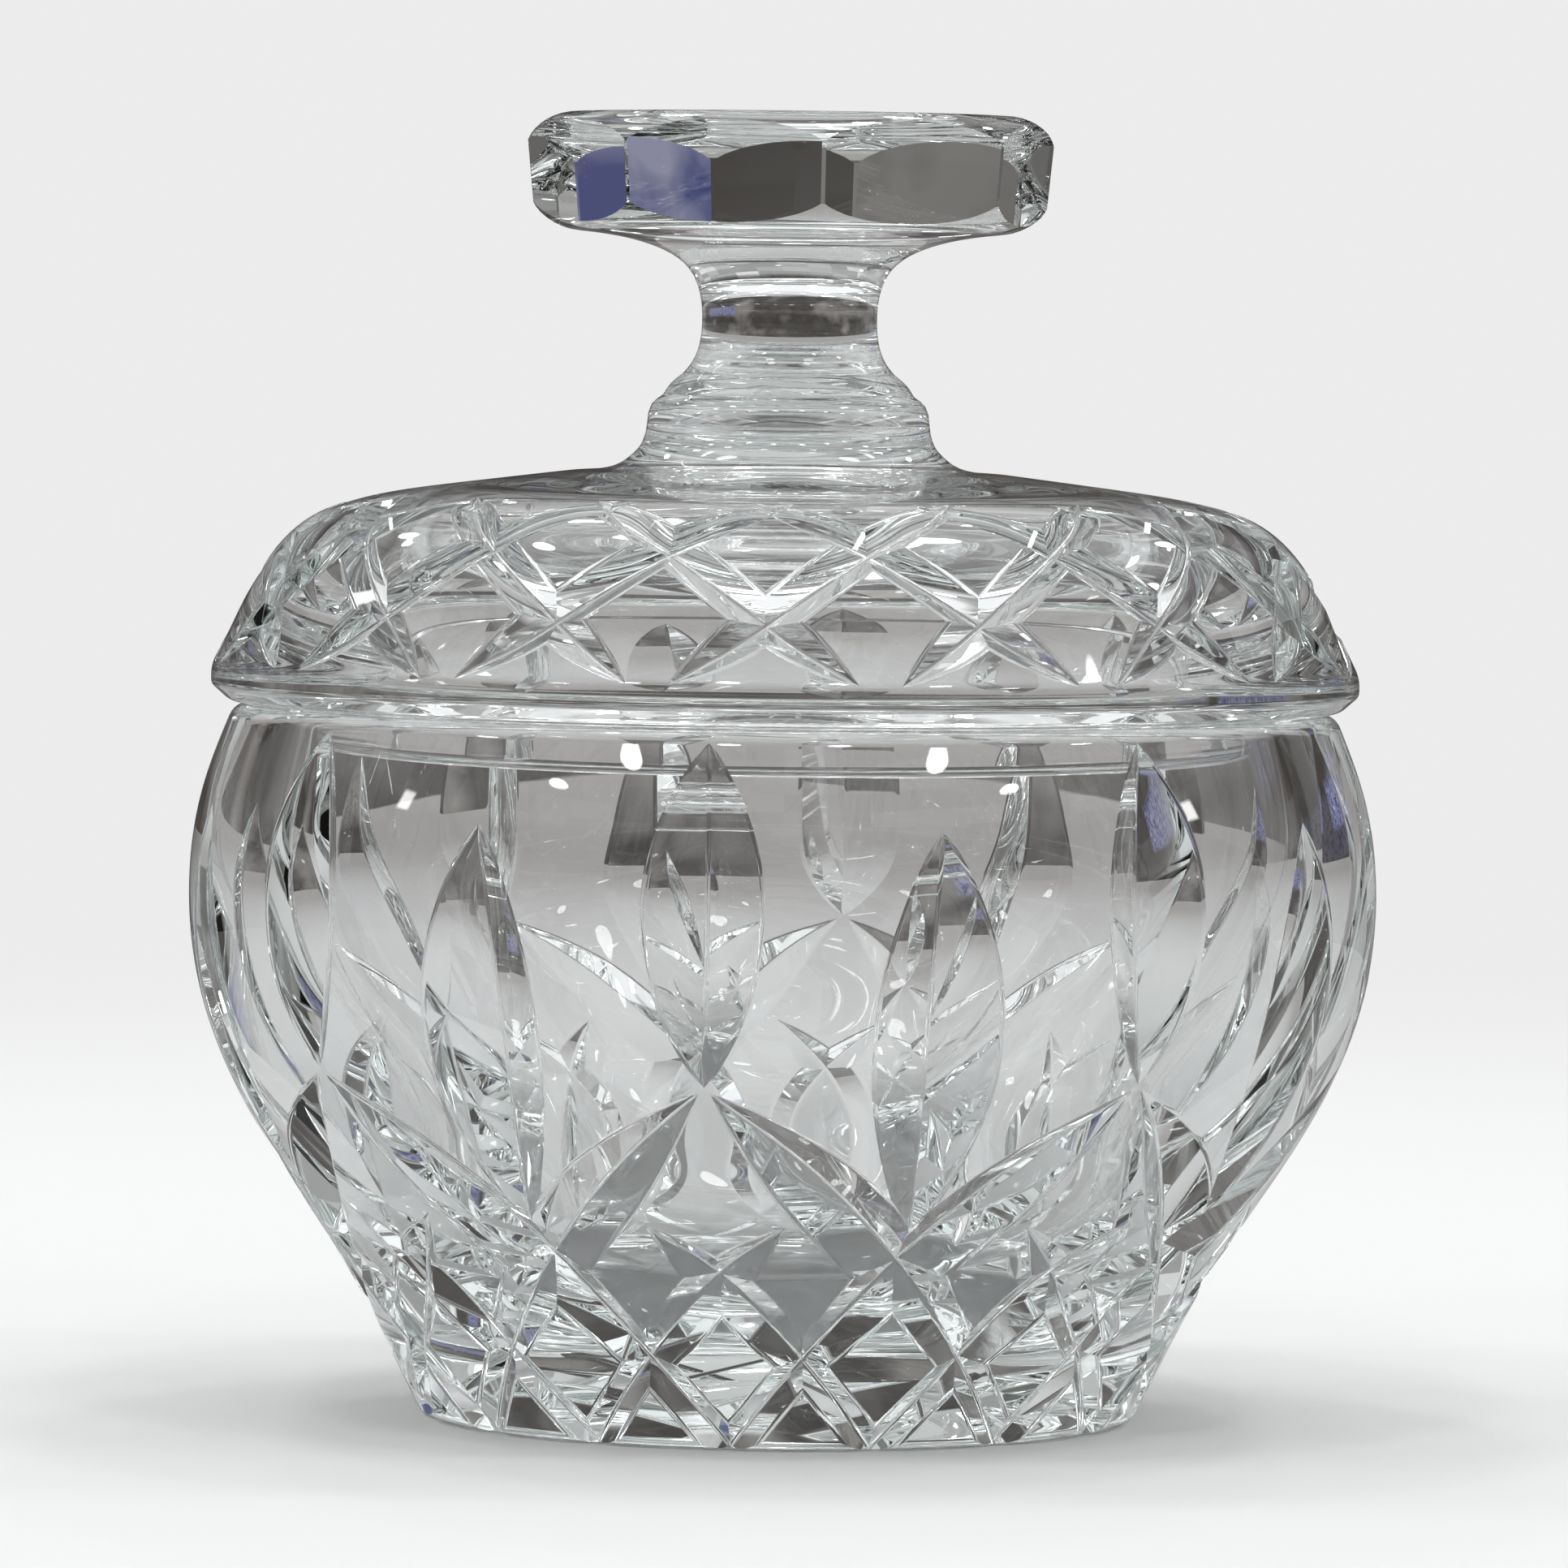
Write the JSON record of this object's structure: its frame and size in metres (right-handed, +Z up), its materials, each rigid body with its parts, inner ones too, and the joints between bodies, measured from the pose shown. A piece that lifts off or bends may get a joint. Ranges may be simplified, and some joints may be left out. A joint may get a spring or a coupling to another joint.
{
  "type": "powder jar",
  "caption": "Clear cut-crystal powder jar: a squat bowl with leaf and lattice cuts, and a lift-off domed lid with an octagonal knob.",
  "frame": {"origin": "middle of the flat base, at the surface the jar stands on", "axes": "+Z up along the jar's turning axis, -Y the front, +X the right as seen from the front"},
  "size_m": [0.125, 0.125, 0.137],
  "materials": {
    "jar_crystal": "clear polished lead crystal, mitre-cut and polished, slight cool grey tint in the thick parts",
    "lid_crystal": "clear polished lead crystal, mitre-cut lattice and flat-cut knob facets"
  },
  "bodies": {
    "jar": {"jar": "jar_crystal"},
    "lid": {"lid": "lid_crystal"}
  },
  "joints": [
    {"name": "lid_lift", "type": "slide", "parent": "jar", "child": "lid", "axis": [0, 0, 1], "range_m": [0, 0.08]}
  ]
}
